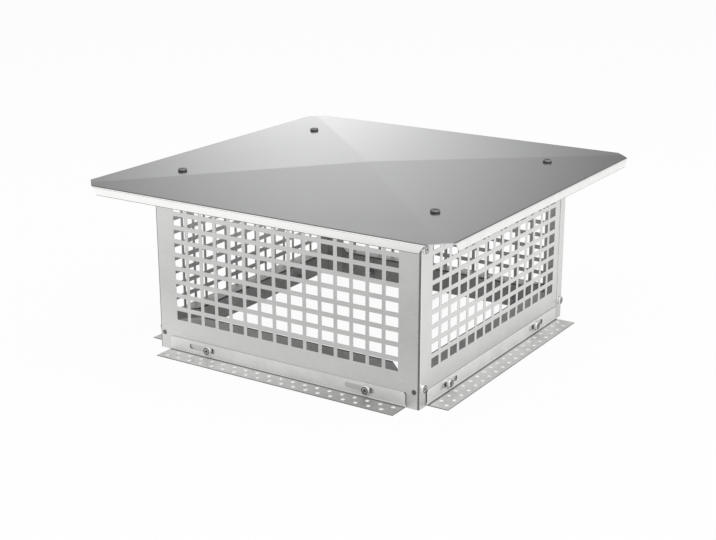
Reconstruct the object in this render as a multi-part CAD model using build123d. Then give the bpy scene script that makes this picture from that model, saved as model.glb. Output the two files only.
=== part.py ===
from build123d import *
import math
import os

# A square chimney rain cap: a cross-broken lid on a punched sheet cage, with four slotted feet.
# Millimetres, +Z up. The front panel faces -Y and the right panel +X. The origin is the middle
# of the cage, on the surface that the feet stand on.

# Sheet and folds
SHEET = 0.8
FOOT_SHEET = 1.0
LEDGE_SHEET = 1.0
BEND = 1.2
SEAT_GAP = 0.05
SLIDE_GAP = 0.2

# Cage: two flanged panels, front and back, lap over the ends of two flat ones
CAGE = 330.0
HALF = CAGE / 2
RETURN_FLANGE = 12.5
TOP_FLANGE = 15.0
TOP_FLANGE_HALF = 148.0
SIDE_FACE = HALF - SHEET
SIDE_HALF_LENGTH = HALF - 2 * SHEET
FOLD_REACH = BEND + SHEET / 2
THROUGH = 20.0

# Punched grille of each panel
COLUMNS, ROWS = 15, 9
PITCH_ALONG, PITCH_UP = 19.0, 15.25
HOLE_WIDTH, HOLE_HEIGHT = 14.7, 10.3
GRILLE_BOTTOM = 36.0

# Lid
LID = 444.0
LID_HALF = LID / 2
LID_EDGE_Z = 190.0
LID_RISE = 7.5
LID_CLIP = 21.0
LIP = 9.5
LIP_TAPER = 6.5
HEM = 6.0

# Feet: perforations come in two rows, each set off along the foot from its middle
FOOT_LENGTH = 300.0
FOOT_DEPTH = 25.0
FOOT_LEG = 16.0
FOOT_CORNER = 3.0
SLOT_LENGTH, SLOT_HEIGHT = 35.0, 6.0
SLOT_SHIFT = -4.8
PERFORATION = 3.6
PERFORATION_COUNT = 19
PERFORATION_PITCH = 15.2
INNER_ROW, OUTER_ROW = 8.2, 18.5
ROW_STAGGER = 3.8

# Ledges that sit on the rim of the flue
LEDGE_TOP = GRILLE_BOTTOM
LEDGE_WIDTH = 20.5
LEDGE_HALF_LENGTH = 142.0
LEDGE_BOTTOM = 1.0

# Fasteners
SHANK_SIDES, HEAD_SIDES = 4, 8
HEAD_TAPER = 25
BOLT_R, BOLT_LENGTH = 2.5, 10.0
BOLT_HEAD_R, BOLT_HEAD = 5.2, 3.3
BOLT_SPACING = 202.0
BOLT_Z = 9.2
FRONT_BOLT_SHIFT = 3.3
SIDE_BOLT_SHIFT = -5.2
NUT_FLATS, NUT_HEIGHT = 8.0, 4.0
NUT_SLACK = 0.05
SCREW_R, SCREW_LENGTH, SCREW_POINT = 2.1, 9.5, 3.0
SCREW_HEAD_R, SCREW_HEAD = 5.0, 2.8
CORNER_SCREW_Y = 158.5
CORNER_SCREW_Z = (21.3, 164.0)
LID_SCREW_X, LID_SCREW_Y = 157.5, 126.0
ANCHOR_X, ANCHOR_Z, ANCHOR_R = 159.0, 18.0, 2.75
HOLE_SLACK = 0.25


def roof(reach):
    """Height of the lid's top surface where the larger of |x| and |y| is reach."""
    return LID_EDGE_Z + LID_RISE * (1 - reach / LID_HALF)


def folded_sheet(corners, thickness, side):
    """Cross-section of a sheet folded at each inner corner, its thickness laid to one side.

    Each fold's small radius is one flat facet.
    """
    line = [Vector(*corner) for corner in corners]
    points = [line[0]]
    for before, corner, after in zip(line, line[1:], line[2:]):
        points.append(corner + (before - corner).normalized() * BEND)
        points.append(corner + (after - corner).normalized() * BEND)
    points.append(line[-1])
    fold = offset(Polyline(*points), amount=thickness, side=side, kind=Kind.INTERSECTION)
    return make_face(fold.edges())


def punch(outline, places, plane, both=False):
    """Holes of one outline at (along, z) places, driven outwards from the middle of the cage."""
    holes = Sketch() + [Pos(along, z) * outline for along, z in places]
    return extrude(plane * holes, amount=HALF + THROUGH, both=both)


def shank(radius):
    """Section of a small fastener, or of the hole that it goes through, with few sides."""
    return RegularPolygon(radius, SHANK_SIDES)


def spread(count, pitch):
    """Evenly pitched places about zero."""
    return [(number - (count - 1) / 2) * pitch for number in range(count)]


def bolt_places(shift):
    """Where a side's two foot bolts stand along it."""
    return [(shift + along, BOLT_Z) for along in spread(2, BOLT_SPACING)]


# Cage panels


def grille(plane):
    """The punches of one panel's grille."""
    bottom = GRILLE_BOTTOM + HOLE_HEIGHT / 2
    heights = [bottom + row * PITCH_UP for row in range(ROWS)]
    places = [(along, z) for along in spread(COLUMNS, PITCH_ALONG) for z in heights]
    return punch(Rectangle(HOLE_WIDTH, HOLE_HEIGHT), places, plane)


def part_at_folds(panel, block):
    """A folded panel's flat grille, inside the block, and its flanges, as nodes of their own.

    Together they are one bent sheet. Apart, each has a hull that leaves the cage's inside open.
    """
    return panel & block, panel - block


def make_front_panel():
    """Channel in plan, parted at its folds: a punched grille and a return flange at each end."""
    back = RETURN_FLANGE - HALF
    corners = [(-HALF, back), (-HALF, -HALF), (HALF, -HALF), (HALF, back)]
    height = roof(HALF) - SHEET - SEAT_GAP
    panel = extrude(folded_sheet(corners, SHEET, Side.LEFT), amount=height)
    panel -= grille(Plane.XZ)
    panel -= punch(shank(BOLT_R + HOLE_SLACK), bolt_places(FRONT_BOLT_SHIFT), Plane.XZ)
    panel -= punch(Circle(ANCHOR_R), [(x, ANCHOR_Z) for x in (-ANCHOR_X, ANCHOR_X)], Plane.XZ)
    flange_holes = [(-CORNER_SCREW_Y, z) for z in CORNER_SCREW_Z]
    panel -= punch(shank(SCREW_R + HOLE_SLACK), flange_holes, Plane.YZ, both=True)
    return part_at_folds(panel, Box(2 * (HALF - FOLD_REACH), 2 * CAGE, 2 * height))


def make_right_panel():
    """Punched sheet folded inwards along its top, to lie under the lid's slope, parted there."""
    inner = SIDE_FACE - TOP_FLANGE
    under = SHEET + SEAT_GAP
    corners = [(SIDE_FACE, 0), (SIDE_FACE, roof(SIDE_FACE) - under), (inner, roof(inner) - under)]
    section = folded_sheet(corners, SHEET, Side.LEFT)
    panel = extrude(Plane.XZ * section, amount=SIDE_HALF_LENGTH, both=True)
    relief = Box(2 * (TOP_FLANGE - BEND), 2 * (SIDE_HALF_LENGTH - TOP_FLANGE_HALF), 6 * SHEET)
    for way in (-1, 1):
        panel -= Pos(inner, way * SIDE_HALF_LENGTH, roof(inner)) * relief
    panel -= grille(Plane.YZ)
    panel -= punch(shank(BOLT_R + HOLE_SLACK), bolt_places(SIDE_BOLT_SHIFT), Plane.YZ)
    corner_holes = [(way * CORNER_SCREW_Y, z) for way in (-1, 1) for z in CORNER_SCREW_Z]
    panel -= punch(shank(SCREW_R), corner_holes, Plane.YZ)
    pilot = extrude(shank(SCREW_R), amount=THROUGH, both=True)
    for y in (-LID_SCREW_Y, LID_SCREW_Y):
        panel -= lid_screw_place(LID_SCREW_X, y) * pilot
    level = roof(SIDE_FACE) - under - FOLD_REACH
    return part_at_folds(panel, Box(2 * CAGE, 2 * CAGE, 2 * level))


# Ledges


def make_ledge(wall, bolt_shift):
    """Inner angle against a panel's inside, wall away from the middle, its ends mitred."""
    inner = wall - LEDGE_WIDTH
    corners = [(-wall, LEDGE_BOTTOM), (-wall, LEDGE_TOP), (-inner, LEDGE_TOP)]
    section = folded_sheet(corners, LEDGE_SHEET, Side.RIGHT)
    ledge = extrude(Plane.YZ * section, amount=LEDGE_HALF_LENGTH, both=True)
    end, depth = LEDGE_HALF_LENGTH, LEDGE_WIDTH
    mitre = Polygon((end, 0), (end, depth), (end - depth, depth), align=None)
    waste = extrude(Pos(0, -wall) * mitre, amount=LEDGE_TOP + THROUGH)
    ledge -= waste
    ledge -= mirror(waste, about=Plane.YZ)
    ledge -= punch(shank(BOLT_R + HOLE_SLACK), bolt_places(bolt_shift), Plane.XZ)
    return ledge


# Feet


def make_foot(wall):
    """Slotted, perforated angle outside the front panel, its upright leg against wall.

    The perforations have four sides and the ends of the slots three.
    """
    face = wall + SLIDE_GAP
    corners = [(-face, FOOT_LEG), (-face, 0), (-face - FOOT_DEPTH, 0)]
    section = folded_sheet(corners, FOOT_SHEET, Side.RIGHT)
    foot = extrude(Plane.YZ * section, amount=FOOT_LENGTH / 2, both=True)
    tops = foot.edges().filter_by(Axis.Y).group_by(Axis.Z)[-1]
    foot = chamfer(tops, FOOT_CORNER / 2)
    slot = Rectangle(SLOT_LENGTH, SLOT_HEIGHT)
    slot = chamfer(slot.vertices(), SLOT_HEIGHT / (2 + math.sqrt(2)))
    foot -= punch(slot, bolt_places(SLOT_SHIFT), Plane.XZ)
    row = spread(PERFORATION_COUNT, PERFORATION_PITCH)
    inner = [(x + ROW_STAGGER, -INNER_ROW) for x in row]
    outer = [(x - ROW_STAGGER, -OUTER_ROW) for x in row]
    hole = Rectangle(PERFORATION, PERFORATION)
    holes = Sketch() + [Pos(*place) * hole for place in inner + outer]
    foot -= extrude(Pos(0, -face) * holes, amount=2 * FOOT_SHEET, both=True)
    return foot


# Fasteners, drawn head up with the underside of the head at the origin


def make_fastener(radius, length, point, head_radius, head):
    """Pan-head bolt or screw, with few sides and, on a screw, a point."""
    straight = length - point
    body = extrude(shank(radius), amount=-straight)
    if point:
        body += loft([Pos(0, 0, -straight) * shank(radius), Vertex(0, 0, -length)])
    return body + extrude(RegularPolygon(head_radius, HEAD_SIDES), amount=head, taper=HEAD_TAPER)


def make_nut():
    """Hexagon nut, its seat at the origin and its body below."""
    nut = extrude(RegularPolygon(NUT_FLATS / 2, 6, major_radius=False), amount=-NUT_HEIGHT)
    return nut - extrude(shank(BOLT_R + NUT_SLACK), amount=2 * NUT_HEIGHT, both=True)


def lid_screw_place(x, y):
    """Seat of a lid screw, square to the facet that it goes through."""
    tilt = math.degrees(math.atan(LID_RISE / LID_HALF))
    return Pos(x, y, roof(abs(x))) * Rot(0, math.copysign(tilt, x), 0)


def outwards(along, face, z, turn):
    """Place on a side of the cage that points outwards: turn 0 is the front, 90 the right."""
    return Rot(0, 0, turn) * Pos(along, -face, z) * Rot(90, 0, 0)


def side_group(solid, places, face, turn):
    """One solid at each of a side's (along, z) places."""
    return [outwards(along, face, z, turn) * solid for along, z in places]


# Lid


def roof_block(half, drop, ease):
    """Closed block under the cross-broken surface, its rim eased by one facet."""
    rim = roof(half) - drop - ease
    inside = half - ease
    outlines = [(half, LID_EDGE_Z - LIP), (half, rim), (inside, roof(inside) - drop)]
    levels = [Pos(0, 0, z) * Rectangle(2 * reach, 2 * reach) for reach, z in outlines]
    crown = loft([levels[2], Vertex(0, 0, roof(0) - drop)])
    return loft(levels[:2]) + loft(levels[1:]) + crown


def make_lid():
    """Cross-broken sheet with hemmed drip lips on four sides and clipped corners."""
    inner_half = LID_HALF - SHEET
    lid = roof_block(LID_HALF, 0, BEND) - roof_block(inner_half, SHEET, BEND - SHEET / 2)
    corner = LID_HALF - LID_CLIP
    floor = LID_EDGE_Z - LIP
    hem = Pos(0, 1.5 * SHEET - LID_HALF, floor + HEM / 2) * Box(2 * corner, SHEET, HEM)
    clip = Polygon((corner, -LID_HALF), (LID_HALF, -LID_HALF), (LID_HALF, -corner), align=None)
    below, above = floor - 1, LID_EDGE_Z - BEND
    taper = Polygon((corner, above), (corner, below), (corner - LIP_TAPER, below), align=None)
    notch = Pos(0, 1 - LID_HALF) * extrude(Plane.XZ * taper, amount=2 * SHEET + 1, both=True)
    waste = extrude(clip, amount=2 * LID_EDGE_Z) + notch + mirror(notch, about=Plane.YZ)
    turns = [Rot(0, 0, turn) for turn in (0, 90, 180, 270)]
    for turn in turns:
        lid += turn * hem
    for turn in turns:
        lid -= turn * waste
    hole = extrude(shank(SCREW_R + HOLE_SLACK), amount=THROUGH, both=True)
    for x in (-LID_SCREW_X, LID_SCREW_X):
        for y in (-LID_SCREW_Y, LID_SCREW_Y):
            lid -= lid_screw_place(x, y) * hole
    return lid


# Assembly


def build():
    """Every sub-part by name."""
    front, corner_flanges = make_front_panel()
    right, top_flange = make_right_panel()
    parts = {
        "lid": make_lid(),
        "front_panel": front,
        "front_corner_flanges": corner_flanges,
        "back_panel": mirror(front, about=Plane.XZ),
        "back_corner_flanges": mirror(corner_flanges, about=Plane.XZ),
        "right_panel": right,
        "right_top_flange": top_flange,
        "left_panel": mirror(right, about=Plane.YZ),
        "left_top_flange": mirror(top_flange, about=Plane.YZ),
    }
    front_ledge = make_ledge(HALF - SHEET, FRONT_BOLT_SHIFT)
    right_ledge = Rot(0, 0, 90) * make_ledge(SIDE_FACE - SHEET, SIDE_BOLT_SHIFT)
    parts["front_ledge"] = front_ledge
    parts["back_ledge"] = mirror(front_ledge, about=Plane.XZ)
    parts["right_ledge"] = right_ledge
    parts["left_ledge"] = mirror(right_ledge, about=Plane.YZ)

    bolt = make_fastener(BOLT_R, BOLT_LENGTH, 0, BOLT_HEAD_R, BOLT_HEAD)
    screw = make_fastener(SCREW_R, SCREW_LENGTH, SCREW_POINT, SCREW_HEAD_R, SCREW_HEAD)
    nut = make_nut()
    sides = (
        ("front", 0, HALF, FRONT_BOLT_SHIFT),
        ("right", 90, SIDE_FACE, SIDE_BOLT_SHIFT),
        ("back", 180, HALF, -FRONT_BOLT_SHIFT),
        ("left", 270, SIDE_FACE, -SIDE_BOLT_SHIFT),
    )
    for name, turn, face, shift in sides:
        places = bolt_places(shift)
        head_seat = face + 2 * SLIDE_GAP + FOOT_SHEET
        nut_seat = face - SHEET - LEDGE_SHEET
        parts[name + "_foot"] = Rot(0, 0, turn) * make_foot(face)
        parts[name + "_foot_bolts"] = Compound(side_group(bolt, places, head_seat, turn))
        parts[name + "_foot_nuts"] = Compound(side_group(nut, places, nut_seat, turn))

    corner_places = [(way * CORNER_SCREW_Y, z) for way in (-1, 1) for z in CORNER_SCREW_Z]
    for name, turn in (("right", 90), ("left", 270)):
        parts[name + "_corner_screws"] = Compound(side_group(screw, corner_places, HALF, turn))
    lid_places = [(x, y) for x in (-LID_SCREW_X, LID_SCREW_X) for y in (-LID_SCREW_Y, LID_SCREW_Y)]
    parts["lid_screws"] = Compound([lid_screw_place(x, y) * screw for x, y in lid_places])
    return parts


os.makedirs("parts", exist_ok=True)
for node, shape in build().items():
    export_step(shape, os.path.join("parts", node + ".step"))
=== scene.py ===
import logging
import math
from collections.abc import Callable, Iterator, Sequence
from contextlib import contextmanager
from dataclasses import dataclass, field, replace
from enum import Enum
from functools import reduce
from itertools import product
from math import radians

import bmesh
import bpy
from mathutils import Matrix, Vector


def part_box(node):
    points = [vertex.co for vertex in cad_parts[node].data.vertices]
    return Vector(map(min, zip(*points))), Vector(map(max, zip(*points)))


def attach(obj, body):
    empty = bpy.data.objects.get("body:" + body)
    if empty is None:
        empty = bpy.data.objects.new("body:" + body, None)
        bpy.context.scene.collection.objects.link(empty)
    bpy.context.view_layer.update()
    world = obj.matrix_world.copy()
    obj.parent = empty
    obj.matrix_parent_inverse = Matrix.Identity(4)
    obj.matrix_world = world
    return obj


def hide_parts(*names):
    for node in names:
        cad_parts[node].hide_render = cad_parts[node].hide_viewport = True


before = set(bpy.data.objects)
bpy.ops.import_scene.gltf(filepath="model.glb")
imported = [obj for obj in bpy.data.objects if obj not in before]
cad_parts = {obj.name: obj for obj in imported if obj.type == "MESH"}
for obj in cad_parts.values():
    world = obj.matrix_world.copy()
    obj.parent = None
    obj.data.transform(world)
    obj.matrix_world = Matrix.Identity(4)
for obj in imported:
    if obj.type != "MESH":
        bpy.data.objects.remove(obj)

MM = 0.001
HAIR = 1e-5
LID_RISE = 7.5 * MM
BOLT_SPACING = 202.0 * MM
BOLT_Z = 9.2 * MM
LOG = logging.getLogger("rain_cap")

Piece = bpy.types.Object
Socket = bpy.types.NodeSocket
Test = Callable[[Vector], bool]
Pair = tuple[float, float]
Triple = tuple[float, float, float]
# Pieces, each with the name of the solid that it stands for
Named = list[tuple[Piece, str]]
# A smooth step: where it starts and where it ends, then its value before and after it
Step = tuple[float, float, float, float]

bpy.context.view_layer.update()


class Pick(Enum):
    """What an edit-mode selection picks."""

    VERTS = "VERT"
    EDGES = "EDGE"
    FACES = "FACE"


class Skin(Enum):
    """Which of its coat's materials a face wears, by slot: its own steel, painted shade, bright cut edges
    with painted highlight, or pale painted highlight.
    """

    FACE = 0
    # Painted shade in folds, gaps, holes, slot ends and recesses
    DARK = 1
    # Bright cut edges, partly their own bright sheared metal and partly painted highlight, and painted
    # highlight lines
    BRIGHT = 2
    # Pale painted highlight on folds and perforation walls
    PALE = 3


class Side(Enum):
    """The four sides of the cap, with the turn about +Z that brings the front there."""

    FRONT = 0
    RIGHT = 90
    BACK = 180
    LEFT = 270

    @property
    def title(self) -> str:
        """Lower-case word for node and piece names."""
        return self.name.lower()

    @property
    def turn(self) -> Matrix:
        """The turn that brings a piece from the front to this side."""
        return Matrix.Rotation(radians(self.value), 4, "Z")

    @property
    def out(self) -> Vector:
        """The way out of the cap on this side."""
        return self.turn @ Vector((0, -1, 0))

    @property
    def along(self) -> Vector:
        """The way along this side, from left to right as seen from outside."""
        return self.turn @ Vector((1, 0, 0))


def span(*nodes: str) -> tuple[Vector, Vector]:
    """The lowest and the highest corner of the box round several solids."""
    lows, highs = zip(*(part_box(node) for node in nodes))
    return Vector(map(min, *lows)), Vector(map(max, *highs))


@dataclass(frozen=True)
class Coat:
    """The materials of one kind of piece: faces, painted shade, bright cut edges with painted highlight,
    and pale painted highlight on folds and hole walls.
    """

    face: bpy.types.Material
    # Painted shade
    dark: bpy.types.Material
    # Bright cut edges, partly painted highlight
    bright: bpy.types.Material
    # Pale painted highlight
    pale: bpy.types.Material

    def lay_on(self, piece: Piece) -> None:
        """Give a new piece its material slots."""
        for material in (self.face, self.dark, self.bright, self.pale):
            piece.data.materials.append(material)


# Modelling by hand


def activate(piece: Piece) -> None:
    """Make one object the only selected one, and the active one.

    Args:
        piece: The object to work on.
    """
    bpy.ops.object.select_all(action="DESELECT")
    piece.select_set(True)
    bpy.context.view_layer.objects.active = piece


@contextmanager
def editing(piece: Piece) -> Iterator[None]:
    """Edit mode on one object, with nothing selected in it at the start.

    Args:
        piece: The mesh object to edit.

    Returns:
        A context, which ends in object mode.
    """
    activate(piece)
    bpy.ops.object.mode_set(mode="EDIT")
    bpy.ops.mesh.select_all(action="DESELECT")
    yield
    bpy.ops.object.mode_set(mode="OBJECT")


def near(one: float, two: float) -> bool:
    """Whether two lengths are the same to a hair."""
    return abs(one - two) < HAIR


def pick(piece: Piece, kind: Pick, test: Test) -> None:
    """Select, in edit mode, what passes a test of its middle.

    Args:
        piece: The mesh in edit mode.
        kind: Vertices, edges or faces.
        test: Says of a middle point whether its item is wanted.
    """
    bpy.ops.mesh.select_mode(type=kind.value)
    bpy.ops.mesh.select_all(action="DESELECT")
    mesh = bmesh.from_edit_mesh(piece.data)
    for item in getattr(mesh, kind.name.lower()):
        corners = getattr(item, "verts", [item])
        if test(sum((corner.co for corner in corners), Vector()) / len(corners)):
            item.select_set(True)
    mesh.select_flush_mode()
    bmesh.update_edit_mesh(piece.data)


def extrude(move: Sequence[float]) -> None:
    """Extrude the selection and move what it makes, by metres."""
    bpy.ops.mesh.extrude_region_move(TRANSFORM_OT_translate={"value": tuple(move)})


def cut(point: Sequence[float], normal: Sequence[float], clear: bool = False) -> None:
    """Bisect the whole mesh by a plane, in edit mode.

    Args:
        point: A point of the plane.
        normal: The plane's normal.
        clear: Whether what lies on the normal's side is deleted.
    """
    bpy.ops.mesh.select_mode(type="FACE")
    bpy.ops.mesh.select_all(action="SELECT")
    bpy.ops.mesh.bisect(plane_co=tuple(point), plane_no=tuple(normal), clear_outer=clear)


def wear(piece: Piece, skin: Skin, test: Test) -> None:
    """Give some faces another of the coat's materials.

    Args:
        piece: The mesh, in object mode.
        skin: The material that they get.
        test: Picks the faces by their middles.
    """
    with editing(piece):
        pick(piece, Pick.FACES, test)
        piece.active_material_index = skin.value
        bpy.ops.object.material_slot_assign()


def bake_place(piece: Piece) -> None:
    """Put an object's place, turn and size into its mesh."""
    activate(piece)
    bpy.ops.object.transform_apply()


def sheet_plane(name: str, coat: Coat, middle: Triple, size: Triple, tilt: float) -> Piece:
    """A flat sheet to start a folded piece from.

    Args:
        name: The piece's name.
        coat: Its materials.
        middle: The sheet's middle.
        size: Its extent along X, Y and Z; one of them is a dummy.
        tilt: Its turn about X, in degrees: 0 faces up and 90 faces the front.

    Returns:
        The sheet, its place in its mesh.
    """
    bpy.ops.mesh.primitive_plane_add(size=1, location=middle, rotation=(radians(tilt), 0, 0))
    piece = bpy.context.object
    bpy.ops.transform.resize(value=tuple(size))
    piece.name = name
    coat.lay_on(piece)
    bake_place(piece)
    return piece


def cylinder(sides: int, radius: float, depth: float, middle: Triple, tilt: float = 0) -> Piece:
    """Add a cylinder.

    Args:
        sides: How many sides it has.
        radius: Its radius.
        depth: Its length.
        middle: Its middle.
        tilt: Its turn about X, in degrees.

    Returns:
        The cylinder.
    """
    size = {"vertices": sides, "radius": radius, "depth": depth}
    bpy.ops.mesh.primitive_cylinder_add(location=middle, rotation=(radians(tilt), 0, 0), **size)
    return bpy.context.object


def fold_edges(piece: Piece, test: Test, radius: float) -> None:
    """Round the fold lines that pass a test, with four facets round each bend.

    Args:
        piece: The mesh, in object mode.
        test: Picks the edges by their middles.
        radius: The bend's outer radius.
    """
    with editing(piece):
        pick(piece, Pick.EDGES, test)
        bpy.ops.mesh.bevel(offset=radius, segments=4)


def apply_modifier(piece: Piece, kind: str, **settings: object) -> None:
    """Add one modifier to a piece and apply it.

    Args:
        piece: The mesh object.
        kind: The modifier's type.
        settings: Its attributes.
    """
    activate(piece)
    modifier = piece.modifiers.new(kind.lower(), kind)
    for key, value in settings.items():
        setattr(modifier, key, value)
    bpy.ops.object.modifier_apply(modifier=modifier.name)


def thicken(piece: Piece, sheet: float, skin: Skin, edge: float = 0.12 * MM) -> None:
    """Give a folded surface its sheet thickness, inwards, and break its sheared edges.

    Args:
        piece: The surface, its faces pointing to the outside of the folds.
        sheet: The sheet's thickness.
        skin: What the sheared edges wear.
        edge: The width of the broken edge.
    """
    rim = {"use_even_offset": True, "material_offset_rim": skin.value}
    apply_modifier(piece, "SOLIDIFY", thickness=sheet, offset=-1, **rim)
    turn = {"limit_method": "ANGLE", "angle_limit": radians(60)}
    apply_modifier(piece, "BEVEL", width=edge, segments=1, material=skin.value, **turn)


def shade(piece: Piece, angle: float) -> None:
    """Shade smooth all turns up to an angle, in degrees."""
    activate(piece)
    bpy.ops.object.shade_smooth_by_angle(angle=radians(angle))


def smooth(piece: Piece) -> None:
    """Shade rounded folds smooth while flat faces stay flat."""
    shade(piece, 25)
    apply_modifier(piece, "WEIGHTED_NORMAL", keep_sharp=True, weight=90)


def cut_out(piece: Piece, cutter: Piece, skin: Skin) -> None:
    """Take one mesh away from another and delete the cutter.

    Args:
        piece: What is cut.
        cutter: What cuts.
        skin: What the cut faces wear.
    """
    for material in piece.data.materials:
        cutter.data.materials.append(material)
    for face in cutter.data.polygons:
        face.material_index = skin.value
    apply_modifier(piece, "BOOLEAN", operation="DIFFERENCE", solver="EXACT", object=cutter)
    bpy.data.objects.remove(cutter)


def join(pieces: Sequence[Piece], name: str) -> Piece:
    """Join meshes into one object.

    Args:
        pieces: The objects; the first one takes the others in.
        name: The joined object's name.

    Returns:
        The joined object.
    """
    activate(pieces[0])
    for piece in pieces:
        piece.select_set(True)
    bpy.ops.object.join()
    pieces[0].name = name
    return pieces[0]


def copy_of(piece: Piece, name: str, place: Matrix) -> Piece:
    """A copy with its own mesh, moved by a matrix.

    Args:
        piece: What is copied.
        name: The copy's name.
        place: Where it goes.

    Returns:
        The copy.
    """
    activate(piece)
    bpy.ops.object.duplicate()
    twin = bpy.context.object
    twin.name = name
    twin.data.transform(place)
    return twin


def reach_of(node: str, side: Side) -> float:
    """How far a solid reaches from the middle towards a side."""
    return max(corner.dot(side.out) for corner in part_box(node))


def on_four_sides(model: Piece, word: str) -> Named:
    """Turn copies of a front piece to all four sides, each as far out as its solid.

    Args:
        model: The piece where the front's solid is; it is deleted in the end.
        word: The solids' name after the side.

    Returns:
        Each copy with its solid's name.
    """
    smooth(model)
    start = reach_of("front_" + word, Side.FRONT)
    made = []
    for side in Side:
        node = f"{side.title}_{word}"
        place = side.turn @ Matrix.Translation((0, start - reach_of(node, side), 0))
        made.append((copy_of(model, node + "_angle", place), node))
    bpy.data.objects.remove(model)
    return made


def dress(piece: Piece, slot: str, body: str, *nodes: str) -> None:
    """Finish a piece: its body and the solids that it stands for.

    Args:
        piece: The finished mesh.
        slot: Its material slot; not used.
        body: The body that it rides on.
        nodes: The solids that it replaces.
    """
    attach(piece, body)
    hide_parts(*nodes)
    LOG.info("%s: %d faces, rides on %s", piece.name, len(piece.data.polygons), body)


# Finishes


@dataclass
class Net:
    """The nodes of one material or world, joined a call at a time."""

    tree: bpy.types.NodeTree

    def add(self, kind: str, **inputs: object) -> bpy.types.Node:
        """Add a node.

        Args:
            kind: Its type, without the ShaderNode before it.
            inputs: A socket to link or a value for each input, spaces in its name as underlines.

        Returns:
            The node.
        """
        node = self.tree.nodes.new("ShaderNode" + kind)
        for name, given in inputs.items():
            self.feed(node.inputs[name.replace("_", " ")], given)
        return node

    def feed(self, socket: Socket, given: object) -> None:
        """Link a socket into an input, or set the input to a value.

        Args:
            socket: The input.
            given: The socket to link, or the value.
        """
        if isinstance(given, Socket):
            self.tree.links.new(given, socket)
        else:
            socket.default_value = given

    def math(self, kind: str, *given: object, vector: bool = False) -> Socket:
        """Add a math node.

        Args:
            kind: Its operation.
            given: A socket or a value for each input.
            vector: Whether it is a vector math node.

        Returns:
            Its result.
        """
        node = self.tree.nodes.new("ShaderNodeVectorMath" if vector else "ShaderNodeMath")
        node.operation = kind
        inputs = [socket for socket in node.inputs if socket.enabled]
        for socket, value in zip(inputs, given):
            self.feed(socket, value)
        return next(socket for socket in node.outputs if socket.enabled)

    def chain(self, kind: str, *given: object) -> Socket:
        """Join two or more values by one operation, from the first to the last."""
        return reduce(lambda one, two: self.math(kind, one, two), given)

    def blends(self, value: Socket, steps: Sequence[Step]) -> Socket:
        """Multiply several smooth steps of one value."""
        return self.chain("MULTIPLY", *(self.blend(value, *step) for step in steps))

    def blend(self, value: Socket, *step: object) -> Socket:
        """Add a smooth step.

        Args:
            value: What it follows.
            step: Where it starts and ends, then the result before and after it.

        Returns:
            Its result.
        """
        node = self.tree.nodes.new("ShaderNodeMapRange")
        node.interpolation_type = "SMOOTHSTEP"
        node.clamp = True
        for socket, given in zip(node.inputs, (value, *step)):
            self.feed(socket, given)
        return node.outputs["Result"]

    def bell(self, value: Socket, middle: float, width: float) -> Socket:
        """Add a bell curve: 1 where the value is at the middle, 0.61 at a width from it."""
        off = self.math("DIVIDE", self.math("SUBTRACT", value, middle), width)
        return self.math("POWER", math.exp(-0.5), self.math("POWER", off, 2.0))


@dataclass(frozen=True)
class SteelFinish:
    """Mill-finished stainless steel: a fine grain along the sheet and faint clouds.

    Attributes:
        tint: Colour where the clouds and the grain are brightest.
        shade: Colour where they are darkest.
        roughness: Lowest and highest roughness.
        grain: How many grains to the metre along X, Y and Z.
        depth: Height of the grain in the bump, in metres.
        cloud: How many clouds to the metre.
        spread: The darkest and the brightest sum of cloud and grain.
        wave: Height of the sheet's waviness in the bump, in metres.
        metal: How far the surface is bare metal; the rest is a dull film.
        soil: Share of the colour that is left on the level leg near the floor: painted shade.
        soil_front: The same on the front, by X: painted shade that deepens towards the front's right end.
        soil_z: Heights between which the painted shade ends.
        soil_y: Depths between which the front's painted shade ends.
    """

    name: str
    tint: Triple
    shade: Triple
    roughness: Pair
    grain: Triple = (900.0, 900.0, 900.0)
    depth: float = 0.01 * MM
    cloud: float = 60.0
    spread: Pair = (0.6, 1.4)
    wave: float = 0.0
    metal: float = 1.0
    soil: float = 1.0
    soil_front: Step = (-70 * MM, 130 * MM, 1.0, 0.58)
    soil_z: Pair = (1.2 * MM, 3.0 * MM)
    soil_y: Pair = (-166 * MM, -165 * MM)

    def material(self) -> bpy.types.Material:
        """Build the node material.

        Returns:
            The material, with colour, roughness and bump from its nodes.
        """
        made = bpy.data.materials.new(self.name)
        made.use_nodes = True
        net = Net(made.node_tree)
        shader = made.node_tree.nodes["Principled BSDF"]
        shader.inputs["Metallic"].default_value = self.metal
        where = net.add("TexCoord").outputs["Object"]
        clouds = net.add("TexNoise", Vector=where, Scale=self.cloud, Detail=4.0, Roughness=0.6)
        stretched = net.add("Mapping", Vector=where, Scale=self.grain).outputs["Vector"]
        grain = net.add("TexNoise", Vector=stretched, Scale=1.0, Detail=3.0)
        mixed = net.math("ADD", clouds.outputs["Fac"], grain.outputs["Fac"])
        tone = net.add("ValToRGB", Fac=net.blend(mixed, *self.spread, 0.0, 1.0))
        tone.color_ramp.elements[0].color = (*self.shade, 1)
        tone.color_ramp.elements[1].color = (*self.tint, 1)
        colour = tone.outputs["Color"]
        # Painted shade: darker near the floor, and on the front darker towards its right end
        if self.soil < 1:
            at = net.add("SeparateXYZ", Vector=where).outputs
            low = net.blend(at["Y"], *self.soil_y, net.blend(at["X"], *self.soil_front), self.soil)
            colour = net.math("SCALE", colour, net.blend(at["Z"], *self.soil_z, low, 1.0), vector=True)
        net.feed(shader.inputs["Base Color"], colour)
        net.feed(shader.inputs["Roughness"], net.blend(mixed, *self.spread, *self.roughness))
        bump = net.add("Bump", Height=grain.outputs["Fac"], Distance=self.depth)
        if self.wave:
            slow = net.add("TexNoise", Vector=where, Scale=5.0, Detail=1.0)
            under = net.add("Bump", Height=slow.outputs["Fac"], Distance=self.wave)
            net.feed(bump.inputs["Normal"], under.outputs["Normal"])
        net.feed(shader.inputs["Normal"], bump.outputs["Normal"])
        return made


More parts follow.
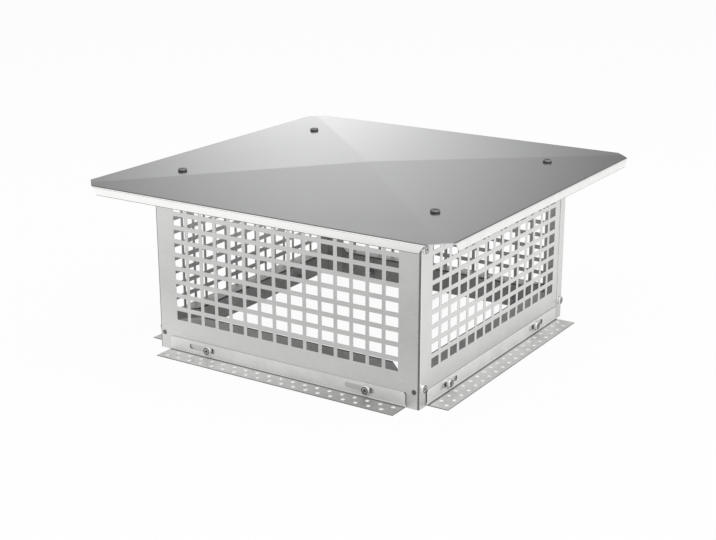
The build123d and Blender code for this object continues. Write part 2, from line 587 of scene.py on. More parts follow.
LID_FINISH = SteelFinish(
    name="lid_satin_steel", tint=(0.67, 0.672, 0.678), shade=(0.63, 0.632, 0.638),
    roughness=(0.12, 0.17), grain=(30.0, 1400.0, 400.0), depth=0.003 * MM, cloud=9.0, wave=0.08 * MM,
)
CAGE_FINISH = SteelFinish(
    name="cage_satin_steel", tint=(0.77, 0.77, 0.76), shade=(0.69, 0.69, 0.68), roughness=(0.34, 0.44),
    grain=(160.0, 160.0, 1500.0), depth=0.008 * MM, cloud=30.0,
)
# The feet's level leg carries painted shade near the floor
FOOT_FINISH = SteelFinish(
    name="foot_satin_steel", tint=(0.96, 0.96, 0.95), shade=(0.80, 0.80, 0.79), roughness=(0.38, 0.50),
    grain=(800.0, 800.0, 800.0), depth=0.02 * MM, cloud=40.0, metal=0.5, soil=0.88,
)
LEDGE_FINISH = SteelFinish(
    name="ledge_satin_steel", tint=(0.72, 0.72, 0.71), shade=(0.42, 0.42, 0.41), roughness=(0.36, 0.48),
    grain=(500.0, 500.0, 500.0), cloud=26.0,
)
SCREW_FINISH = SteelFinish(
    name="turned_bright_steel", tint=(0.62, 0.62, 0.62), shade=(0.34, 0.34, 0.35),
    roughness=(0.10, 0.20), grain=(1200.0, 1200.0, 1200.0), depth=0.005 * MM, cloud=160.0,
)
# Painted shade: the dark lines along folds, corners and sheared ends, the anchor holes and slot ends, and
# the lid screws' face
PAINTED_SHADE_STEEL = SteelFinish(
    name="painted_shade_steel", tint=(0.28, 0.28, 0.275), shade=(0.19, 0.19, 0.185), roughness=(0.30, 0.42),
    grain=(600.0, 600.0, 600.0), cloud=40.0,
)
# Bright cut edges, partly their own bright sheared metal and partly painted highlight, and the painted
# highlight lines of the lips, corners and screw heads
CUT_EDGE_AND_HIGHLIGHT = SteelFinish(
    name="bright_edge_steel", tint=(0.95, 0.95, 0.94), shade=(0.86, 0.86, 0.85), roughness=(0.18, 0.30),
    depth=0.005 * MM,
)
# Painted highlight: a pale dull strip along the feet's folds, also on their perforation walls
PAINTED_FOLD_LIGHT = SteelFinish(
    name="pale_fold_steel", tint=(0.96, 0.96, 0.95), shade=(0.92, 0.92, 0.91), roughness=(0.45, 0.60),
    metal=0.0,
)
RECESS = SteelFinish(
    name="recess_dark_steel", tint=(0.12, 0.12, 0.12), shade=(0.06, 0.06, 0.06), roughness=(0.40, 0.55),
)


# Lid


@dataclass
class Lid:
    """The cross-broken lid with its hemmed drip lips and clipped corners.

    Attributes:
        turn_share: Where a lip's fold turns from painted shade to painted highlight, in bends under the
            rim.
        bright_share: How far in the painted highlight reaches, in bends.
        lip_shade_height: Height of the painted shade along a lip's lower edge.
    """

    coat: Coat
    half: float = field(default_factory=lambda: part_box("lid")[1].x)
    floor: float = field(default_factory=lambda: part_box("lid")[0].z)
    peak: float = field(default_factory=lambda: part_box("lid")[1].z)
    sheet: float = 0.8 * MM
    lip: float = 9.5 * MM
    clip: float = 21.0 * MM
    taper: float = 6.5 * MM
    hem: float = 6.0 * MM
    hem_width: float = 1.7 * MM
    hem_bend: float = 0.7 * MM
    bend: float = 2.0 * MM
    crease: float = 2.2 * MM
    turn_share: float = 0.3
    bright_share: float = 0.5
    lip_shade_height: float = 0.65 * MM

    @property
    def rim(self) -> float:
        """Height of the lips' folds."""
        return self.floor + self.lip

    @property
    def corner(self) -> float:
        """Half the length of a side between the clipped corners."""
        return self.half - self.clip

    def build(self) -> Piece:
        """Model the lid from one flat sheet.

        Returns:
            The finished mesh.
        """
        lid = sheet_plane("lid_sheet", self.coat, (0, 0, self.rim), (2 * self.half, 2 * self.half, 1), 0)
        with editing(lid):
            bpy.ops.mesh.select_all(action="SELECT")
            bpy.ops.mesh.poke()
            pick(lid, Pick.VERTS, lambda at: at.xy.length < HAIR)
            bpy.ops.transform.translate(value=(0, 0, self.peak - self.rim))
            for way_x, way_y in product((-1, 1), repeat=2):
                cut((way_x * self.corner, way_y * self.half, 0), (way_x, way_y, 0), clear=True)
            pick(lid, Pick.EDGES, lambda at: near(abs(at.x), abs(at.y)) and abs(at.x) < self.corner)
            bpy.ops.mesh.bevel(offset=self.crease, segments=2)
            for side in Side:
                self._fold_lip(lid, side)
        fold_edges(lid, lambda at: near(at.z, self.rim) and near(self._reach(at), self.half), self.bend)
        fold_edges(lid, self._is_hem_fold, self.hem_bend)
        # The sheared edges: bright cut metal with a painted highlight
        thicken(lid, self.sheet, Skin.BRIGHT)
        self._paint_fold_lines(lid)
        smooth(lid)
        return lid

    def _paint_fold_lines(self, lid: Piece) -> None:
        """Paint the folds' light: painted shade along the top of each fold and along each lip's lower edge,
        and painted highlight just under each fold.

        Args:
            lid: The thickened mesh.
        """
        turn = self.rim - self.turn_share * self.bend
        bright, dark = self.half - self.bright_share * self.bend, self.half - self.bend
        wear(lid, Skin.BRIGHT, lambda at: at.z < turn and self._reach(at) > bright)
        wear(lid, Skin.DARK, lambda at: turn < at.z < self.rim and self._reach(at) > dark)
        wear(lid, Skin.DARK, lambda at: at.z < self.floor + self.lip_shade_height)

    def _reach(self, at: Vector) -> float:
        """How far out a point is, along X or Y."""
        return max(abs(at.x), abs(at.y))

    def _is_hem_fold(self, at: Vector) -> bool:
        """Whether an edge is one of the two folds under a lip."""
        out = self._reach(at)
        return near(at.z, self.floor) and (near(out, self.half) or near(out, self.half - self.hem_width))

    def _fold_lip(self, lid: Piece, side: Side) -> None:
        """Fold one side down, taper its ends and turn its hem up inside.

        Args:
            lid: The mesh in edit mode.
            side: Which side.
        """
        pick(lid, Pick.EDGES, lambda at: near(at.dot(side.out), self.half) and near(at.z, self.rim))
        extrude((0, 0, -self.lip))
        extrude(-side.out * self.hem_width)
        extrude((0, 0, self.hem))
        inner = self.half - self.hem_width
        for way in (-1, 1):
            pick(
                lid,
                Pick.VERTS,
                lambda at: way * at.dot(side.along) > self.corner - HAIR
                and at.dot(side.out) > inner - HAIR
                and at.z < self.rim - HAIR,
            )
            bpy.ops.transform.translate(value=tuple(-way * side.along * self.taper))


# Cage


@dataclass
class Grille:
    """The punched field of one panel: how many holes, how far apart and how large."""

    columns: int = 15
    rows: int = 9
    pitch_along: float = 19.0 * MM
    pitch_up: float = 15.25 * MM
    width: float = 14.7 * MM
    height: float = 10.3 * MM
    bottom: float = 36.0 * MM

    def columns_at(self) -> list[float]:
        """Middles of the columns, from left to right."""
        return [(n - (self.columns - 1) / 2) * self.pitch_along for n in range(self.columns)]

    def rows_at(self) -> list[float]:
        """Middles of the rows, from the bottom up."""
        return [self.bottom + self.height / 2 + n * self.pitch_up for n in range(self.rows)]

    def punch(self, panel: Piece) -> None:
        """Cut the sheet along every hole's sides and delete what is inside the holes.

        Args:
            panel: An upright sheet along X, in edit mode.
        """
        for middle, way in product(self.columns_at(), (-1, 1)):
            cut((middle + way * self.width / 2, 0, 0), (1, 0, 0))
        for middle, way in product(self.rows_at(), (-1, 1)):
            cut((0, 0, middle + way * self.height / 2), (0, 0, 1))
        pick(panel, Pick.FACES, self._is_in_hole)
        bpy.ops.mesh.delete(type="FACE")

    def _is_in_hole(self, at: Vector) -> bool:
        """Whether a place on the sheet is inside a hole."""
        in_column = any(abs(at.x - middle) < self.width / 2 for middle in self.columns_at())
        return in_column and any(abs(at.z - middle) < self.height / 2 for middle in self.rows_at())


@dataclass
class Cage:
    """The four punched panels: two channels, front and back, and two flat sides.

    Attributes:
        turn_share: Where a corner's line turns from painted shade to painted highlight, in bends behind the
            front.
        dark_share: How far in the painted shade reaches, in bends.
        bright_share: The same for the painted highlight.
    """

    coat: Coat
    sheet: float = 0.8 * MM
    bend: float = 2.0 * MM
    edge: float = 0.2 * MM
    anchor_r: float = 2.75 * MM
    anchor_x: float = 159.0 * MM
    anchor_z: float = 18.0 * MM
    anchor_depth: float = 6.0 * MM
    flange_half: float = 148.0 * MM
    turn_share: float = 0.6
    dark_share: float = 0.9
    bright_share: float = 0.1
    grille: Grille = field(default_factory=Grille)

    def build(self) -> list[tuple[Piece, tuple[str, str]]]:
        """Model the panels, each one sheet with its flanges.

        Returns:
            Each panel with the names of the solids that it stands for.
        """
        made = []
        for panel, sides, flange in (
            (self._front(), ("front", "back"), "_corner_flanges"),
            (self._right(), ("right", "left"), "_top_flange"),
        ):
            twin = copy_of(panel, sides[1] + "_panel_sheet", Side.BACK.turn)
            for piece, side in zip((panel, twin), sides):
                smooth(piece)
                made.append((piece, (side + "_panel", side + flange)))
        return made

    def _front(self) -> Piece:
        """The front channel: a web with a return flange at each end.

        Returns:
            The mesh, not yet shaded.
        """
        low, high = span("front_panel", "front_corner_flanges")
        half, top = high.x, high.z
        panel = sheet_plane("front_panel_sheet", self.coat, (0, low.y, top / 2), (2 * half, 1, top), 90)
        with editing(panel):
            self.grille.punch(panel)
            for way in (-1, 1):
                pick(panel, Pick.EDGES, lambda at: near(at.x, way * half))
                extrude((0, high.y - low.y, 0))
        fold_edges(panel, lambda at: near(abs(at.x), half) and near(at.y, low.y), self.bend)
        # The grille's sheared edges: bright cut metal with a painted highlight
        thicken(panel, self.sheet, Skin.BRIGHT, self.edge)
        # Painted shade along each corner's fold, with a painted highlight behind it
        turn, end = low.y + self.turn_share * self.bend, low.y + self.bend
        dark, bright = (half - share * self.bend for share in (self.dark_share, self.bright_share))
        wear(panel, Skin.DARK, lambda at: abs(at.x) > dark and at.y < turn)
        wear(panel, Skin.BRIGHT, lambda at: abs(at.x) > bright and turn < at.y < end)
        # The anchor holes' walls wear painted shade
        for way in (-1, 1):
            spot = (way * self.anchor_x, low.y, self.anchor_z)
            cut_out(panel, cylinder(24, self.anchor_r, self.anchor_depth, spot, 90), Skin.DARK)
        return panel

    def _right(self) -> Piece:
        """The right side: a flat punched sheet with its top folded in under the lid.

        Returns:
            The mesh, not yet shaded.
        """
        low, high = span("right_panel", "right_top_flange")
        climb = (high.x - low.x) * LID_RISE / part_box("lid")[1].x
        top = high.z - climb

        def is_on_fold(at: Vector) -> bool:
            """Whether an edge is on the fold of the top flange."""
            return near(at.z, top) and abs(at.x) < self.flange_half

        panel = sheet_plane("right_panel_sheet", self.coat, (0, -high.x, top / 2), (2 * high.y, 1, top), 90)
        with editing(panel):
            self.grille.punch(panel)
            for way in (-1, 1):
                cut((way * self.flange_half, 0, 0), (1, 0, 0))
            pick(panel, Pick.EDGES, is_on_fold)
            extrude((0, high.x - low.x, climb))
        fold_edges(panel, is_on_fold, self.bend)
        thicken(panel, self.sheet, Skin.BRIGHT, self.edge)
        panel.data.transform(Side.RIGHT.turn)
        return panel


# Ledges


@dataclass
class Ledges:
    """The four inner angles that sit on the flue's rim."""

    coat: Coat
    sheet: float = 1.0 * MM
    bend: float = 1.6 * MM
    # Width of the painted shade strip along the inner edge
    shade: float = 2.5 * MM

    def build(self) -> Named:
        """Model the front ledge and turn copies of it to all sides.

        Returns:
            Each ledge with its solid's name.
        """
        low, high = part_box("front_ledge")
        middle, size = (0, low.y, (low.z + high.z) / 2), (2 * high.x, 1, high.z - low.z)
        ledge = sheet_plane("ledge", self.coat, middle, size, 90)
        inner, under = high.y - self.shade, high.z - 2 * self.sheet
        with editing(ledge):
            pick(ledge, Pick.EDGES, lambda at: near(at.z, high.z))
            extrude((0, high.y - low.y, 0))
            cut((0, inner, 0), (0, 1, 0))
            for way in (-1, 1):
                cut((way * high.x, low.y, 0), (way, 1, 0), clear=True)
        fold_edges(ledge, lambda at: near(at.z, high.z) and near(at.y, low.y), self.bend)
        # The sheared edges and a strip along the inner edge wear painted deep shade
        thicken(ledge, self.sheet, Skin.DARK)
        wear(ledge, Skin.DARK, lambda at: at.y > inner and at.z > under)
        return on_four_sides(ledge, "ledge")


# Feet


@dataclass
class Feet:
    """The four slotted, perforated angles that slide along the skirt.

    Attributes:
        top_edge: Width of the plain sheared edge on top.
        painted_shade_height: Height under which the fold wears painted shade, in sheets.
        painted_light_reach: How far out the fold's pale painted highlight reaches, in sheets.
        hole_flare: How much wider a hole gets over one sheet.
        hole_depth: Length of a hole's cutter, in sheets.
    """

    coat: Coat
    sheet: float = 1.0 * MM
    bend: float = 1.6 * MM
    corner: float = 3.0 * MM
    # Height to which the fold's pale painted highlight reaches
    fold_light: float = 2.8 * MM
    # Width of the painted shade on the level leg along the fold
    fold_shade: float = 3.8 * MM
    painted_shade_height: float = 1.2
    painted_light_reach: float = 1.3
    top_edge: float = 0.2 * MM
    slot_length: float = 35.0 * MM
    slot_height: float = 6.0 * MM
    slot_depth: float = 8.0 * MM
    slot_shift: float = -4.8 * MM
    hole_r: float = 2.15 * MM
    hole_flare: float = 0.5 * MM
    hole_depth: float = 3.0
    count: int = 19
    pitch: float = 15.2 * MM
    inner_row: float = 8.2 * MM
    outer_row: float = 18.5 * MM
    stagger: float = 3.8 * MM

    def build(self) -> Named:
        """Model the front foot and turn copies of it to all sides.

        Returns:
            Each foot with its solid's name.
        """
        low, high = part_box("front_foot")
        wall, leg = high.y, high.z
        foot = sheet_plane("foot", self.coat, (0, wall, leg / 2), (2 * high.x, 1, leg), -90)
        dark, shaded = self.painted_shade_height * self.sheet, wall - self.fold_shade
        with editing(foot):
            pick(foot, Pick.EDGES, lambda at: near(at.z, 0))
            extrude((0, low.y - wall, 0))
            pick(foot, Pick.VERTS, lambda at: near(at.z, leg))
            bpy.ops.mesh.bevel(offset=self.corner, segments=4, affect="VERTICES")
            cut((0, 0, self.fold_light), (0, 0, 1))
            cut((0, shaded, 0), (0, 1, 0))
        fold_edges(foot, lambda at: near(at.z, 0) and near(at.y, wall), self.bend)
        # The sheared edges wear painted shade, but for the plain top edge
        thicken(foot, self.sheet, Skin.DARK)
        wear(foot, Skin.FACE, lambda at: at.z > leg - self.top_edge)
        # A pale painted highlight along the fold, with painted shade at its foot
        pale = wall - self.painted_light_reach * self.sheet
        wear(foot, Skin.PALE, lambda at: dark < at.z < self.fold_light and at.y > pale)
        wear(foot, Skin.DARK, lambda at: at.z < dark and at.y > shaded)
        cut_out(foot, self._slots(wall), Skin.FACE)
        # Painted shade in the slots' ends
        wear(foot, Skin.DARK, self._is_shaded_slot_end)
        # The perforations' walls wear pale painted light
        cut_out(foot, self._perforations(wall), Skin.PALE)
        return on_four_sides(foot, "foot")

    def _is_shaded_slot_end(self, at: Vector) -> bool:
        """Whether a face is part of a slot's rounded end, which wears painted shade, but for the right
        slot's left end.

        Args:
            at: The face's middle.

        Returns:
            Whether it is.
        """
        stretch = (self.slot_length - self.slot_height) / 2
        along = at.x - self.slot_shift
        off = along - BOLT_SPACING / 2 if along > 0 else abs(along + BOLT_SPACING / 2)
        level = abs(at.z - BOLT_Z) < self.slot_height / 2
        return level and stretch + 2 * HAIR < off < self.slot_length / 2

    def _slots(self, wall: float) -> Piece:
        """The cutter for both slots.

        Args:
            wall: Where the upright leg stands.

        Returns:
            The cutter.
        """
        cutters = []
        stretch = self.slot_length - self.slot_height
        for way in (-1, 1):
            left = self.slot_shift + way * BOLT_SPACING / 2 - stretch / 2
            cutter = cylinder(32, self.slot_height / 2, self.slot_depth, (left, wall, BOLT_Z), 90)
            bake_place(cutter)
            with editing(cutter):
                pick(cutter, Pick.VERTS, lambda at: at.x > left + HAIR)
                bpy.ops.transform.translate(value=(stretch, 0, 0))
            cutters.append(cutter)
        return join(cutters, "slot_cutter")

    def _perforations(self, wall: float) -> Piece:
        """The cutter for both rows of perforations.

        Args:
            wall: Where the upright leg stands.

        Returns:
            The cutter.
        """
        cutters = []
        flare = self.hole_depth / 2 * self.hole_flare
        rows = (self.inner_row, self.stagger), (self.outer_row, -self.stagger)
        for (row, shift), number in product(rows, range(self.count)):
            x = shift + (number - (self.count - 1) / 2) * self.pitch
            bpy.ops.mesh.primitive_cone_add(
                vertices=16,
                radius1=self.hole_r - flare,
                radius2=self.hole_r + flare,
                depth=self.hole_depth * self.sheet,
                location=(x, wall - row, self.sheet / 2),
            )
            cutters.append(bpy.context.object)
        return join(cutters, "perforation_cutter")


# Fasteners


@dataclass
class Fastener:
    """A pan head with a cross recess on a ringed shank, drawn head up at the origin.

    Attributes:
        turns: How many rings the thread has.
        end: Length of the end, and width of its tip in shank widths.
        dome: How far the head is rounded, in heads.
        core: Width of the plain middle, in crowns.
        ring: Where the painted shade ring ends, from the crown at 0 to the edge at 1.
        edge: Where the edge begins, in head radii.
        swell: How much wider the thread is than its root.
        wing: Length, width and depth of the recess's wings, in head radii and heads.
        wing_taper: What is left of their size at the bottom.
    """

    coat: Coat
    head_r: float
    head: float
    shank_r: float
    pitch: float
    turns: int
    end: Pair
    sides: int = 24
    # What the head's side wears: painted highlight by default, painted shade on the lid screws
    rim: Skin = Skin.BRIGHT
    dome: float = 0.5
    core: float = 0.88
    ring: float = 0.3
    edge: float = 0.9
    swell: float = 1.12
    wing: Triple = (1.0, 0.27, 1.2)
    wing_taper: float = 0.45

    def build(self) -> Piece:
        """Model the fastener.

        Returns:
            The mesh, its seat at the origin.
        """
        dome, edge = self.dome * self.head, self.edge * self.head_r
        crown = self.head_r - dome
        core = self.core * crown
        piece = cylinder(self.sides, self.head_r, self.head, (0, 0, self.head / 2))
        self.coat.lay_on(piece)
        bake_place(piece)
        with editing(piece):
            pick(piece, Pick.EDGES, lambda at: near(at.z, self.head) and at.xy.length > edge)
            bpy.ops.mesh.bevel(offset=dome, segments=5)
            pick(piece, Pick.FACES, lambda at: near(at.xy.length, 0) and near(at.z, self.head))
            bpy.ops.mesh.inset(thickness=crown - core)
            pick(piece, Pick.FACES, lambda at: near(at.xy.length, 0) and near(at.z, 0))
            bpy.ops.mesh.inset(thickness=self.head_r - self.shank_r)
            self._shank()
        # Painted light on the head: the side wears the rim's skin, a bright-rimmed head gets a painted
        # highlight round its dome and a painted shade ring inside it, and the cross recess wears painted
        # deep shade
        wear(piece, self.rim, lambda at: 0 < at.z < dome and at.xy.length > edge)
        if self.rim is Skin.BRIGHT:
            ring = crown + self.ring * dome
            wear(piece, Skin.BRIGHT, lambda at: at.z > HAIR and at.xy.length > ring)
            wear(piece, Skin.DARK, lambda at: at.z > HAIR and core < at.xy.length < ring)
        cut_out(piece, self._recess(), Skin.DARK)
        shade(piece, 40)
        return piece

    def _shank(self) -> None:
        """Draw the shank down from the selected face, narrower and wider by turns for its thread."""
        half = self.pitch / 2
        for drop, share in [(half, 1 / self.swell), (half, self.swell)] * self.turns + [self.end]:
            extrude((0, 0, -drop))
            bpy.ops.transform.resize(value=(share, share, 1))

    def _recess(self) -> Piece:
        """The cutter of the cross recess, narrower towards its bottom.

        Returns:
            The cutter.
        """
        reach, width, depth = self.wing
        bpy.ops.mesh.primitive_cube_add(size=1, location=(0, 0, self.head))
        wing = bpy.context.object
        bpy.ops.transform.resize(value=(reach * self.head_r, width * self.head_r, depth * self.head))
        bake_place(wing)
        with editing(wing):
            pick(wing, Pick.VERTS, lambda at: at.z < self.head)
            bpy.ops.transform.resize(value=(self.wing_taper, self.wing_taper, 1))
        other = copy_of(wing, "other_wing", Side.RIGHT.turn)
        apply_modifier(wing, "BOOLEAN", operation="UNION", solver="EXACT", object=other)
        bpy.data.objects.remove(other)
        return wing


@dataclass
class Hardware:
    """Every bolt, nut and screw, seated where the solids have them.

    Attributes:
        bore: How wide the nut's hole is, in bolts.
        spin: How far a group's first fastener is turned, and each one more than the last, in degrees.
    """

    coat: Coat
    lid_coat: Coat
    bolt_r: float = 2.5 * MM
    bolt_head: float = 3.3 * MM
    nut_flats: float = 8.0 * MM
    nut_height: float = 4.0 * MM
    nut_chamfer: float = 0.35 * MM
    bore: float = 1.02
    corner_y: float = 158.5 * MM
    corner_z: Pair = (21.3 * MM, 164.0 * MM)
    lid_x: float = 157.5 * MM
    lid_y: float = 126.0 * MM
    spin: Pair = (25, 40)

    def build(self) -> Named:
        """Model each kind once and seat its copies.

        Returns:
            Each group with its solid's name.
        """
        head = {"head_r": 5.2 * MM, "head": self.bolt_head}
        bolt = Fastener(
            self.coat, **head, shank_r=self.bolt_r, pitch=0.8 * MM, turns=12, end=(0.3 * MM, 0.85)
        )
        head = {"head_r": 5.0 * MM, "head": 2.8 * MM}
        screw = Fastener(
            self.coat, **head, shank_r=2.1 * MM, pitch=1.3 * MM, turns=4, end=(3.0 * MM, 0.1)
        )
        # The lid screws wear painted shade: the painted shade steel on their face and painted deep shade on
        # their side
        lid_screw = replace(screw, coat=self.lid_coat, rim=Skin.DARK)
        bolt, screw, lid_screw = (kind.build() for kind in (bolt, screw, lid_screw))
        nut = self._nut()
        made = []
        for side in Side:
            bolts, nuts = side.title + "_foot_bolts", side.title + "_foot_nuts"
            heads = reach_of(bolts, side) - self.bolt_head
            for node, seat, part in ((bolts, heads, bolt), (nuts, reach_of(nuts, side), nut)):
                places = [self._outwards(side, along, seat, BOLT_Z) for along in self._bolt_spots(side)]
                made.append(self._group(part, node, places))
        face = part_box("front_corner_flanges")[1].x
        for side in (Side.RIGHT, Side.LEFT):
            spots = product((-self.corner_y, self.corner_y), self.corner_z)
            places = [self._outwards(side, along, face, z) for along, z in spots]
            made.append(self._group(screw, side.title + "_corner_screws", places))
        made.append(self._group(lid_screw, "lid_screws", self._lid_places()))
        for model in (bolt, screw, lid_screw, nut):
            bpy.data.objects.remove(model)
        return made

    def _nut(self) -> Piece:
        """A hexagon nut with chamfered corners, its seat at the origin and its body below.

        Returns:
            The mesh.
        """
        across = self.nut_flats / math.cos(radians(30)) / 2
        nut = cylinder(6, across, self.nut_height, (0, 0, -self.nut_height / 2))
        self.coat.lay_on(nut)
        bake_place(nut)
        apply_modifier(nut, "BEVEL", width=self.nut_chamfer, segments=2, limit_method="ANGLE")
        # The bore wears painted deep shade
        cut_out(nut, cylinder(24, self.bore * self.bolt_r, 3 * self.nut_height, (0, 0, 0)), Skin.DARK)
        shade(nut, 30)
        return nut

    def _bolt_spots(self, side: Side) -> Pair:
        """Where a side's two bolts stand along it, from the solids."""
        middle = sum(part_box(side.title + "_foot_bolts"), Vector()).dot(side.along) / 2
        return middle - BOLT_SPACING / 2, middle + BOLT_SPACING / 2

    def _outwards(self, side: Side, along: float, face: float, z: float) -> Matrix:
        """Place on a side of the cap, pointing outwards."""
        upright = Matrix.Rotation(radians(90), 4, "X")
        return side.turn @ Matrix.Translation((along, -face, z)) @ upright

    def _lid_places(self) -> list[Matrix]:
        """Seats of the lid screws, square to the lid's slope.

        Returns:
            Where they go.
        """
        half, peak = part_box("lid")[1].x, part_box("lid")[1].z
        tilt = math.atan(LID_RISE / half)
        z = peak - LID_RISE * self.lid_x / half
        return [
            Matrix.Translation((way * self.lid_x, y, z)) @ Matrix.Rotation(way * tilt, 4, "Y")
            for way, y in product((-1, 1), (-self.lid_y, self.lid_y))
        ]

    def _group(self, part: Piece, node: str, places: Sequence[Matrix]) -> tuple[Piece, str]:
        """Copies of one fastener at several places, as one piece.

        Args:
            part: The fastener.
            node: The solid that the group stands for.
            places: Where the copies go.

        Returns:
            The group and the solid's name.
        """
        name = node + "_group"
        first, step = self.spin
        copies = []
        for number, place in enumerate(places):
            spin = Matrix.Rotation(radians(first + step * number), 4, "Z")
            copies.append(copy_of(part, name, place @ spin))
        return join(copies, name), node


# Studio


@dataclass(frozen=True)
class Lamp:
    """A square soft lamp: where it hangs, what it points at, its side in metres and its watts."""

    name: str
    at: Triple
    aim: Triple
    size: float
    power: float

    def hang(self) -> None:
        """Add the lamp to the scene."""
        data = bpy.data.lights.new(self.name, "AREA")
        data.size = self.size
        data.energy = self.power
        lamp = bpy.data.objects.new(self.name, data)
        lamp.location = self.at
        lamp.rotation_euler = (Vector(self.aim) - Vector(self.at)).to_track_quat("-Z", "Y").to_euler()
        bpy.context.scene.collection.objects.link(lamp)


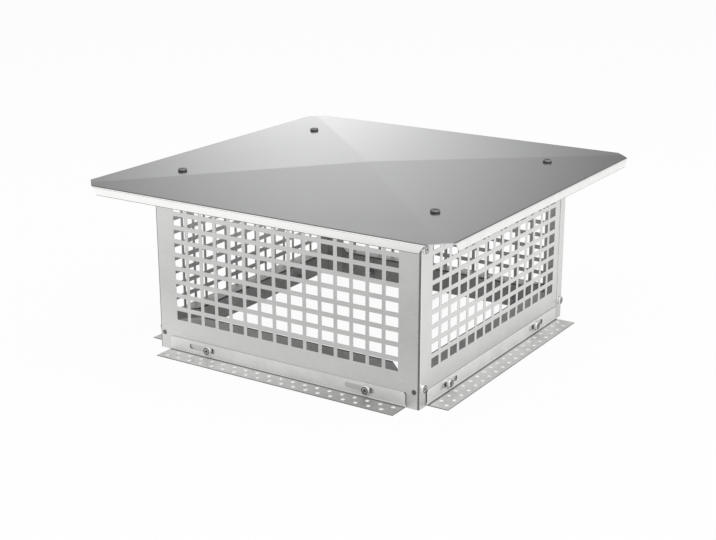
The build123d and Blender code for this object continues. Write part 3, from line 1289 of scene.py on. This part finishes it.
@dataclass
class Studio:
    """The pale floor, the soft lights, the surroundings and the camera.

    Attributes:
        white_share: How far the floor is its own light to the eye; the rest is paint.
        inner_gloss: How white steel sees the floor under the cap: a painted shadow in the floor's glow.
        near_gloss: How white it sees the floor before the front, by Y, near the cap.
        away_gloss: The same further away, by Y and away_slant of X.
        front_gloss: Shares of both, by X.
        side_gloss: The shares that make up the floor on the right, by X.
        flag: What is left towards the camera from the front corner: painted shade in the floor's glow.
        behind_skirt: Where the floor under the cap turns white to the eye, in half widths.
        glow_rise: The glow behind the cap, by height.
        room: The surroundings everywhere else, by height.
        spot_at: Where a small bright spot stands in the glow, aside and up.
        front_dim: What is left of the surroundings towards front_way.
    """

    picture: tuple[int, int] = (716, 540)
    camera_at: Triple = (783.345 * MM, -1235.358 * MM, 539.736 * MM)
    yaw: float = 32.609
    pitch: float = 17.707
    focal_px: float = 1363.31
    centre_px: Pair = (362.072, 269.777)
    sensor: float = 36.0

    floor_r: float = 40.0
    floor_paint: tuple[float, float, float, float] = (0.85, 0.85, 0.85, 1)
    white_share: float = 0.95
    inner_gloss: float = 0.22
    near_gloss: Step = (-0.33, -0.21, 0.65, 1.0)
    away_gloss: Step = (-0.755, -0.605, 1.0, 0.65)
    away_slant: float = 0.5
    front_gloss: tuple[Step, ...] = ((-0.40, 0.0, 1.08, 0.84), (0.0, 0.12, 1.0, 0.90))
    side_gloss: tuple[Step, ...] = (
        (0.19, 0.45, 0.91, 1.13),
        (0.185, 0.20, 0.81, 1.0),
        (0.45, 0.53, 1.0, 0.81),
    )
    flag: Step = (0.80, 0.95, 1.0, 0.60)
    behind_skirt: Step = (-0.8, -0.6, 0.0, 1.0)

    glow_yaw: float = 34.1
    glow_spread: float = 0.155
    glow_rise: Step = (0.242, 0.407, 0.79, 0.37)
    glow_ahead: Step = (0.0, 0.1, 0.0, 1.0)
    room: Step = (0.60, 0.80, 0.85, 0.08)
    room_beside: Step = (0.25, 0.45, 0.0, 1.0)
    room_over: Step = (0.42, 0.55, 0.0, 1.0)
    room_opposite: Step = (0.0, 0.2, 1.0, 0.0)
    front_way: Triple = (-0.54, -0.84, 0.0)
    front_dim: Step = (0.1, 0.9, 1.0, 0.60)
    spot_at: Pair = (-0.03, 0.12)
    spot_spread: Pair = (0.07, 0.02)
    spot_level: float = 0.95
    lamps: tuple[Lamp, ...] = (
        Lamp("overhead_softbox", (0.3, -0.2, 2.6), (0, 0, 0), 2.6, 18.0),
        Lamp("front_softbox", (-0.7, -1.6, 2.1), (0, 0, 0.1), 3.0, 18.0),
        Lamp("side_softbox", (1.5, -0.2, 2.2), (0, 0, 0.1), 3.0, 27.0),
    )

    def build(self) -> None:
        """Set up everything around the cap."""
        self._camera()
        self._floor()
        self._world()
        for lamp in self.lamps:
            lamp.hang()
        bpy.context.scene.view_settings.view_transform = "Standard"

    def _camera(self) -> None:
        """The camera at the photograph's place and framing."""
        data = bpy.data.cameras.new("camera")
        wide, tall = self.picture
        data.sensor_fit = "HORIZONTAL"
        data.sensor_width = self.sensor
        data.lens = self.focal_px / wide * self.sensor
        data.shift_x = (wide / 2 - self.centre_px[0]) / wide
        data.shift_y = (self.centre_px[1] - tall / 2) / wide
        camera = bpy.data.objects.new("camera", data)
        camera.location = self.camera_at
        camera.rotation_euler = (radians(90 - self.pitch), 0, radians(self.yaw))
        bpy.context.scene.collection.objects.link(camera)
        bpy.context.scene.camera = camera

    def _floor(self) -> None:
        """The floor: white to the eye and to the steel, with painted light and shade in its glow for the
        steel, and shaded paint under the cap.
        """
        bpy.ops.mesh.primitive_circle_add(vertices=96, radius=self.floor_r, fill_type="NGON")
        floor = bpy.context.object
        floor.name = "studio_floor"
        made = bpy.data.materials.new("floor_paint")
        made.use_nodes = True
        made.node_tree.nodes.clear()
        net = Net(made.node_tree)
        path = net.add("LightPath").outputs
        mirrored = net.math("ADD", path["Is Glossy Ray"], path["Is Transmission Ray"])
        place = net.add("TexCoord").outputs["Object"]
        at = net.add("SeparateXYZ", Vector=place).outputs
        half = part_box("front_corner_flanges")[1].x
        reach = net.math("MAXIMUM", net.math("ABSOLUTE", at["X"]), net.math("ABSOLUTE", at["Y"]))
        outside = net.math("GREATER_THAN", reach, half)
        # The glow that steel sees is painted light and shade: brighter or darker bands by place, painted
        # shade towards the camera, and a painted shadow under the cap
        slant = net.math("MULTIPLY_ADD", at["X"], self.away_slant, at["Y"])
        close, away = net.blend(at["Y"], *self.near_gloss), net.blend(slant, *self.away_gloss)
        right = net.math("GREATER_THAN", at["X"], half)
        left = net.math("SUBTRACT", 1.0, right)
        bands = net.math("MULTIPLY", left, net.math("MAXIMUM", close, away))
        bands = net.math("MULTIPLY", bands, net.blends(at["X"], self.front_gloss))
        gloss = net.math("MULTIPLY_ADD", right, net.blends(at["X"], self.side_gloss), bands)
        gloss = net.chain("MULTIPLY", self._flag(net, place, half), gloss, outside)
        gloss = net.math("MAXIMUM", gloss, self.inner_gloss)
        start, end, *levels = self.behind_skirt
        seen = net.math("MAXIMUM", outside, net.blend(at["Y"], start * half, end * half, *levels))
        by_eye = net.math("MULTIPLY", path["Is Camera Ray"], seen)
        white = net.math("MULTIPLY", net.math("ADD", by_eye, mirrored), self.white_share)
        strength = net.math("ADD", by_eye, net.math("MULTIPLY", mirrored, gloss))
        paint = net.add("BsdfDiffuse", Color=self.floor_paint).outputs["BSDF"]
        glow = net.add("Emission", Strength=strength).outputs["Emission"]
        mix = net.add("MixShader", Fac=white)
        net.feed(mix.inputs[1], paint)
        net.feed(mix.inputs[2], glow)
        net.add("OutputMaterial", Surface=mix.outputs["Shader"])
        floor.data.materials.append(made)

    @property
    def towards(self) -> Vector:
        """The level way from the cap to the camera."""
        return Matrix.Rotation(radians(self.yaw), 3, "Z") @ Vector((0, -1, 0))

    def _flag(self, net: Net, place: Socket, half: float) -> Socket:
        """What is left of the open floor's white between the front corner and the camera: painted shade in
        the glow.
        """
        off = net.math("NORMALIZE", net.math("SUBTRACT", place, (half, -half, 0), vector=True), vector=True)
        return net.blend(net.math("DOT_PRODUCT", off, self.towards, vector=True), *self.flag)

    def _world(self) -> None:
        """Surroundings: a pale glow behind the cap, low over the horizon, and a soft band above it."""
        world = bpy.data.worlds.new("studio_surroundings")
        bpy.context.scene.world = world
        world.use_nodes = True
        net = Net(world.node_tree)
        way = net.add("TexCoord").outputs["Generated"]
        turn = (0, 0, -radians(self.glow_yaw))
        at = net.add("SeparateXYZ", Vector=net.add("Mapping", Vector=way, Rotation=turn).outputs["Vector"])
        aside, ahead, above = (at.outputs[axis] for axis in "XYZ")
        rise, before = net.blend(above, *self.glow_rise), net.blend(ahead, *self.glow_ahead)
        glow = net.chain("MULTIPLY", net.bell(aside, 0.0, self.glow_spread), rise, before)
        bells = (net.bell(*given) for given in zip((aside, above), self.spot_at, self.spot_spread))
        spot = net.chain("MULTIPLY", *bells, self.spot_level)
        beside = net.blend(net.math("ABSOLUTE", aside), *self.room_beside)
        over, opposite = net.blend(above, *self.room_over), net.blend(ahead, *self.room_opposite)
        clear = net.chain("MAXIMUM", beside, over, opposite)
        front = net.math("DOT_PRODUCT", way, self.front_way, vector=True)
        room = net.chain("MULTIPLY", clear, net.blend(above, *self.room), net.blend(front, *self.front_dim))
        background = world.node_tree.nodes["Background"]
        net.feed(background.inputs["Strength"], net.chain("ADD", glow, spot, room))
        background.inputs["Color"].default_value = (1, 1, 1, 1)


def main() -> None:
    """Build the cap's pieces in order, then the studio, and note the sizes."""
    logging.basicConfig(level=logging.INFO, format="%(name)s %(message)s")
    # Shared by the coats: painted shade steel, painted deep shade, bright cut edge with painted highlight,
    # and pale painted fold highlight
    line, recess, edge, fold = (made.material() for made in (PAINTED_SHADE_STEEL, RECESS, CUT_EDGE_AND_HIGHLIGHT, PAINTED_FOLD_LIGHT))
    finishes = (LID_FINISH, CAGE_FINISH, FOOT_FINISH)
    lid_coat, cage_coat, foot_coat = (Coat(made.material(), line, edge, fold) for made in finishes)
    finishes = (LEDGE_FINISH, SCREW_FINISH)
    ledge_coat, screw_coat = (Coat(made.material(), recess, edge, fold) for made in finishes)
    dress(Lid(lid_coat).build(), "lid_sheet", "cap", "lid")
    for panel, nodes in Cage(cage_coat).build():
        dress(panel, "cage_sheet", "cap", *nodes)
    for ledge, node in Ledges(ledge_coat).build():
        dress(ledge, "ledge_sheet", "cap", node)
    for foot, node in Feet(foot_coat).build():
        dress(foot, "foot_sheet", node, node)
    # The lid screws' coat takes the painted shade steel for its face
    for group, node in Hardware(screw_coat, replace(screw_coat, face=line)).build():
        dress(group, "fastener", "cap", node)
    Studio().build()


if __name__ == "__main__":
    main()
